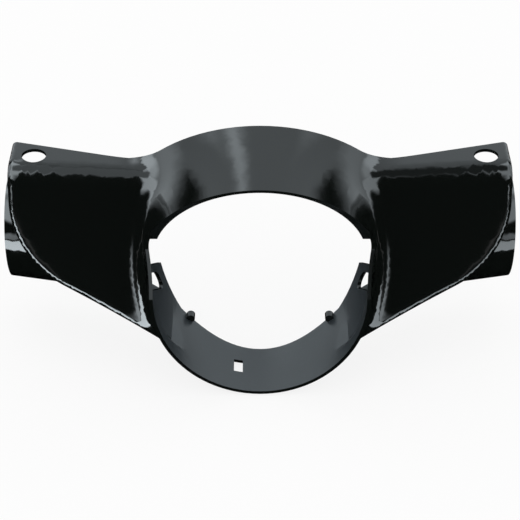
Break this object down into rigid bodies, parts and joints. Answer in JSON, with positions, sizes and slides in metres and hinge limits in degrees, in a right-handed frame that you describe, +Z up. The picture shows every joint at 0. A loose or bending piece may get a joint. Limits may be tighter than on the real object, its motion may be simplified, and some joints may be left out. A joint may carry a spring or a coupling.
{
  "type": "handlebar cover",
  "caption": "Front handlebar cover of a scooter: one gloss-black moulded shell with a round headlamp opening under a hood, and a wing to each side that ends in half a tube round the grip.",
  "frame": {"origin": "centre of the circle that the lower rim of the headlamp opening lies on, where the headlamp seats", "axes": "X to the viewer's right from one grip to the other, Y backwards towards the rider, Z up"},
  "size_m": [0.377, 0.1189, 0.1687],
  "materials": {
    "cover_plastic": "gloss black paint outside, bare moulded plastic inside"
  },
  "bodies": {
    "root": {"handlebar_cover": "cover_plastic"}
  },
  "joints": []
}
